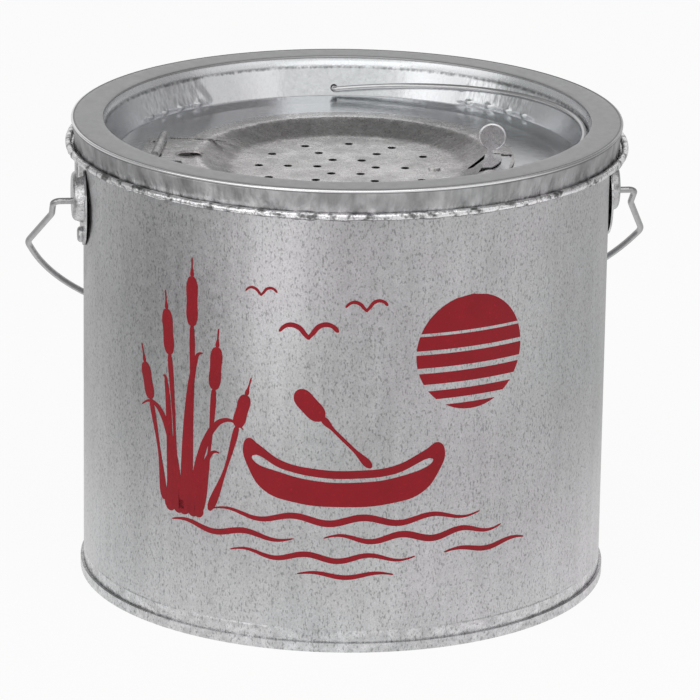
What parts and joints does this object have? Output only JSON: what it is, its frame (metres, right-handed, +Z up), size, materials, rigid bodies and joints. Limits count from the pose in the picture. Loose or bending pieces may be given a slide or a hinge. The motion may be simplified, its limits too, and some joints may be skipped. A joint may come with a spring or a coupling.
{
  "type": "floating bait bucket",
  "caption": "Galvanised pail with a wire bail, and a lift-out perforated float with a sealed rim chamber, its own folding bail and a hinged, latched, perforated lid.",
  "frame": {"origin": "centre of the pail's foot, on the surface it stands on", "axes": "+Z up, X through the two ears of the pail, the front towards -Y"},
  "size_m": [0.296, 0.2624, 0.2198],
  "materials": {
    "galvanised_wall": "zinc spangle, faint vertical streaks",
    "galvanised_shell": "zinc spangle, satin",
    "grey_ring": "smooth satin zinc",
    "bright_sheet": "bright tinned sheet, near mirror",
    "dull_lid": "grainy dull zinc",
    "ear_steel": "stamped zinc plate",
    "steel_wire": "galvanised wire",
    "rivet_steel": "plain steel"
  },
  "bodies": {
    "pail": {"pail_wall": "galvanised_wall", "rim_wire": "steel_wire", "pail_bottom": "galvanised_wall", "ear_right": "ear_steel", "ear_left": "ear_steel", "ear_rivets": "rivet_steel"},
    "pail_handle": {"pail_bail": "steel_wire"},
    "float": {"float_ring": "grey_ring", "neck_wall": "bright_sheet", "deck": "bright_sheet", "throat_tube": "bright_sheet", "chamber_floor": "bright_sheet", "float_shell": "galvanised_shell", "float_bottom": "galvanised_shell", "bail_sockets": "bright_sheet", "hinge_leaf": "dull_lid", "hinge_pin": "steel_wire", "hinge_rivets": "rivet_steel"},
    "float_handle": {"float_bail": "steel_wire"},
    "lid_body": {"lid": "dull_lid", "latch_rivet": "rivet_steel"},
    "latch_body": {"latch": "bright_sheet"}
  },
  "joints": [
    {"name": "pail_bail_swing", "type": "hinge", "parent": "pail", "child": "pail_handle", "pos_m": [0, 0, 0.1815], "axis": [1, 0, 0], "range_deg": [0, 260.2]},
    {"name": "float_lift", "type": "slide", "parent": "pail", "child": "float", "axis": [0, 0, 1], "range_m": [0, 0.215]},
    {"name": "float_bail_swing", "type": "hinge", "parent": "float", "child": "float_handle", "pos_m": [0, 0, 0.205], "axis": [-0.0645, -0.9979, 0], "range_deg": [0, 170.8]},
    {"name": "lid_swing", "type": "hinge", "parent": "float", "child": "lid_body", "pos_m": [-0.08617, 0.01784, 0.2027], "axis": [-0.2028, -0.9792, 0], "range_deg": [0, 105]},
    {"name": "latch_slide", "type": "slide", "parent": "lid_body", "child": "latch_body", "axis": [0.9792, -0.2028, 0], "range_m": [0, 0.004]}
  ]
}
